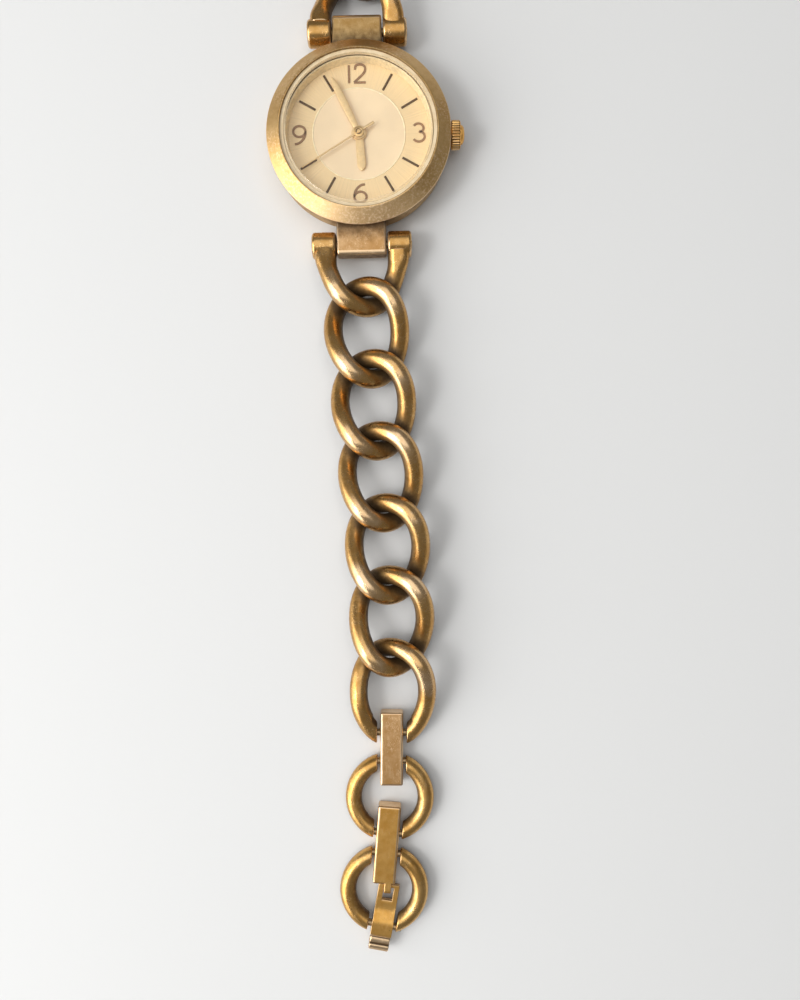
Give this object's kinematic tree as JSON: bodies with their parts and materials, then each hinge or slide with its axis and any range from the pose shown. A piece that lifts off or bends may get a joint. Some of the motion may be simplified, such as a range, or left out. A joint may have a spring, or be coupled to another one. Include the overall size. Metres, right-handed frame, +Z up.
{
  "type": "wristwatch on chain bracelet",
  "caption": "Small round analogue wristwatch on a heavy curb-chain bracelet with pinned bars, split rings and a leaf-and-hook clasp, laid open flat.",
  "frame": {"origin": "middle of the case back's outer face, on the surface that the watch lies on", "axes": "+X towards 3 o'clock and the crown, +Y towards 12 o'clock along the bracelet, +Z up out of the dial"},
  "size_m": [0.0279, 0.1912, 0.0066],
  "materials": {
    "back_steel": "brushed steel",
    "bar_bronze": "scratched pinkish bronze gold, bevelled and worn at the edges",
    "baton_brown": "glossy dark brown",
    "battery_steel": "stamped bright steel",
    "bezel_gold": "satin gold, brushed round, with a softened edge",
    "board_green": "green circuit board",
    "case_bronze": "satin antiqued bronze, darker in the corners, scratched pinkish on the lugs",
    "chain_gold": "antiqued satin gold with brown patina in the hollows and worn pinkish bronze crowns",
    "clasp_gold": "satin gold with a bronze hook",
    "clear_gasket": "clear soft plastic",
    "coil_copper": "enamelled copper wire",
    "crown_gold": "satin gold",
    "crystal_glass": "clear polished mineral glass",
    "dial_champagne": "champagne with a pearly middle",
    "flange_gold": "satin champagne gold",
    "hand_gold": "polished gold",
    "holder_plastic": "off-white moulded plastic",
    "movement_brass": "plain brass",
    "movement_steel": "plain steel",
    "pin_steel": "plain turned steel",
    "ring_gold": "antiqued satin gold",
    "seal_rubber": "black rubber"
  },
  "bodies": {
    "case": {"case_middle": "case_bronze", "case_back": "back_steel", "back_gasket": "seal_rubber", "bezel": "bezel_gold", "crystal": "crystal_glass", "crystal_gasket": "clear_gasket", "flange_ring": "flange_gold", "dial": "dial_champagne", "hour_batons": "baton_brown", "main_plate": "movement_brass", "movement_holder": "holder_plastic", "train_bridge": "movement_brass", "battery": "battery_steel", "battery_clip": "movement_steel", "circuit_board": "board_green", "motor_coil": "coil_copper", "motor_stator": "movement_steel", "motor_rotor": "movement_steel", "lower_lug_pin": "pin_steel", "upper_lug_pin": "pin_steel"},
    "lower_lug_link": {"lower_lug_link": "chain_gold"},
    "lower_curb_link_1": {"lower_curb_link_1": "chain_gold"},
    "lower_curb_link_2": {"lower_curb_link_2": "chain_gold"},
    "lower_curb_link_3": {"lower_curb_link_3": "chain_gold"},
    "lower_curb_link_4": {"lower_curb_link_4": "chain_gold"},
    "lower_curb_link_5": {"lower_curb_link_5": "chain_gold"},
    "end_link": {"end_link": "chain_gold", "end_link_pin": "pin_steel"},
    "first_bar": {"first_bar": "bar_bronze"},
    "first_ring": {"first_ring": "ring_gold", "first_ring_near_pin": "pin_steel", "first_ring_far_pin": "pin_steel"},
    "second_bar": {"second_bar": "bar_bronze"},
    "second_ring": {"second_ring": "ring_gold", "second_ring_near_pin": "pin_steel", "second_ring_far_pin": "pin_steel"},
    "clasp_leaf": {"clasp_leaf": "clasp_gold", "clasp_hook": "clasp_gold"},
    "upper_lug_link": {"upper_lug_link": "chain_gold"},
    "upper_curb_link_1": {"upper_curb_link_1": "chain_gold"},
    "upper_curb_link_2": {"upper_curb_link_2": "chain_gold"},
    "upper_curb_link_3": {"upper_curb_link_3": "chain_gold"},
    "upper_curb_link_4": {"upper_curb_link_4": "chain_gold"},
    "closing_eye": {"closing_eye": "ring_gold"},
    "minute_hand": {"minute_hand": "hand_gold", "minute_wheel": "movement_brass"},
    "hour_hand": {"hour_hand": "hand_gold", "hour_wheel": "movement_brass"},
    "second_hand": {"second_hand": "hand_gold", "second_wheel": "movement_brass"},
    "third_wheel": {"third_wheel": "movement_brass"},
    "setting_lever": {"setting_lever": "movement_steel"},
    "crown": {"crown": "crown_gold", "winding_stem": "movement_steel", "crown_gasket": "seal_rubber"}
  },
  "joints": [
    {"name": "lower_lug_hinge", "type": "hinge", "parent": "case", "child": "lower_lug_link", "pos_m": [0, -0.0152, 0.0026], "axis": [1, 0, 0], "range_deg": [-30, 45]},
    {"name": "lower_link_1_hinge", "type": "hinge", "parent": "lower_lug_link", "child": "lower_curb_link_1", "pos_m": [0, -0.02275, 0.00308], "axis": [0.9968, 0.0802, 0], "range_deg": [-25, 25]},
    {"name": "lower_link_2_hinge", "type": "hinge", "parent": "lower_curb_link_1", "child": "lower_curb_link_2", "pos_m": [0.00083, -0.03302, 0.00308], "axis": [0.9978, 0.0663, 0], "range_deg": [-25, 25]},
    {"name": "lower_link_3_hinge", "type": "hinge", "parent": "lower_curb_link_2", "child": "lower_curb_link_3", "pos_m": [0.00151, -0.04329, 0.00308], "axis": [0.9959, 0.0906, 0], "range_deg": [-25, 25]},
    {"name": "lower_link_4_hinge", "type": "hinge", "parent": "lower_curb_link_3", "child": "lower_curb_link_4", "pos_m": [0.00244, -0.05355, 0.00308], "axis": [0.9988, 0.0488, 0], "range_deg": [-25, 25]},
    {"name": "lower_link_5_hinge", "type": "hinge", "parent": "lower_curb_link_4", "child": "lower_curb_link_5", "pos_m": [0.00295, -0.06384, 0.00308], "axis": [0.9998, 0.0209, 0], "range_deg": [-25, 25]},
    {"name": "end_link_hinge", "type": "hinge", "parent": "lower_curb_link_5", "child": "end_link", "pos_m": [0.00316, -0.07414, 0.00308], "axis": [0.999, -0.0436, 0], "range_deg": [-25, 25]},
    {"name": "first_bar_hinge", "type": "hinge", "parent": "end_link", "child": "first_bar", "pos_m": [0.00267, -0.08533, 0.0013], "axis": [0.9997, -0.0262, 0], "range_deg": [-25, 25]},
    {"name": "first_ring_hinge", "type": "hinge", "parent": "first_bar", "child": "first_ring", "pos_m": [0.00257, -0.08943, 0.0013], "axis": [0.9997, -0.0262, 0], "range_deg": [-25, 25]},
    {"name": "second_bar_hinge", "type": "hinge", "parent": "first_ring", "child": "second_bar", "pos_m": [0.00175, -0.09979, 0.0013], "axis": [0.9949, -0.1011, 0], "range_deg": [-25, 25]},
    {"name": "second_ring_hinge", "type": "hinge", "parent": "second_bar", "child": "second_ring", "pos_m": [0.00145, -0.10273, 0.0013], "axis": [0.9949, -0.1011, 0], "range_deg": [-3, 25]},
    {"name": "clasp_leaf_hinge", "type": "hinge", "parent": "second_ring", "child": "clasp_leaf", "pos_m": [0.00065, -0.1131, 0.0013], "axis": [-0.9799, 0.1994, 0], "range_deg": [0, 110]},
    {"name": "upper_lug_hinge", "type": "hinge", "parent": "case", "child": "upper_lug_link", "pos_m": [0, 0.0152, 0.0026], "axis": [1, 0, 0], "range_deg": [-45, 30]},
    {"name": "upper_link_1_hinge", "type": "hinge", "parent": "upper_lug_link", "child": "upper_curb_link_1", "pos_m": [0, 0.02275, 0.00308], "axis": [0.9998, 0.0175, 0], "range_deg": [-25, 25]},
    {"name": "upper_link_2_hinge", "type": "hinge", "parent": "upper_curb_link_1", "child": "upper_curb_link_2", "pos_m": [-0.00018, 0.03305, 0.00308], "axis": [0.999, 0.0436, 0], "range_deg": [-25, 25]},
    {"name": "upper_link_3_hinge", "type": "hinge", "parent": "upper_curb_link_2", "child": "upper_curb_link_3", "pos_m": [-0.00063, 0.04334, 0.00308], "axis": [0.9981, 0.061, 0], "range_deg": [-25, 25]},
    {"name": "upper_link_4_hinge", "type": "hinge", "parent": "upper_curb_link_3", "child": "upper_curb_link_4", "pos_m": [-0.00126, 0.05362, 0.00308], "axis": [0.9986, 0.0523, 0], "range_deg": [-25, 25]},
    {"name": "closing_eye_hinge", "type": "hinge", "parent": "upper_curb_link_4", "child": "closing_eye", "pos_m": [-0.00182, 0.06429, 0.00308], "axis": [0.9998, 0.0175, 0], "range_deg": [-25, 25]},
    {"name": "minute_hand_turn", "type": "hinge", "parent": "case", "child": "minute_hand", "pos_m": [0, 0, 0], "axis": [0, 0, -1], "continuous": true},
    {"name": "hour_hand_turn", "type": "hinge", "parent": "case", "child": "hour_hand", "pos_m": [0, 0, 0], "axis": [0, 0, -1], "continuous": true},
    {"name": "second_hand_turn", "type": "hinge", "parent": "case", "child": "second_hand", "pos_m": [0, 0, 0], "axis": [0, 0, -1], "continuous": true},
    {"name": "third_wheel_turn", "type": "hinge", "parent": "case", "child": "third_wheel", "pos_m": [0.0029, 0, 0], "axis": [0, 0, -1], "continuous": true},
    {"name": "crown_pull", "type": "slide", "parent": "case", "child": "setting_lever", "axis": [1, 0, 0], "range_m": [0, 0.0005]},
    {"name": "crown_turn", "type": "hinge", "parent": "setting_lever", "child": "crown", "pos_m": [0.01305, 0, 0.0032], "axis": [1, 0, 0], "continuous": true}
  ],
  "couplings": [
    {"joint": "hour_hand_turn", "follows": "minute_hand_turn", "ratio": 0.083333},
    {"joint": "second_hand_turn", "follows": "minute_hand_turn", "ratio": 60},
    {"joint": "third_wheel_turn", "follows": "minute_hand_turn", "ratio": -8}
  ]
}
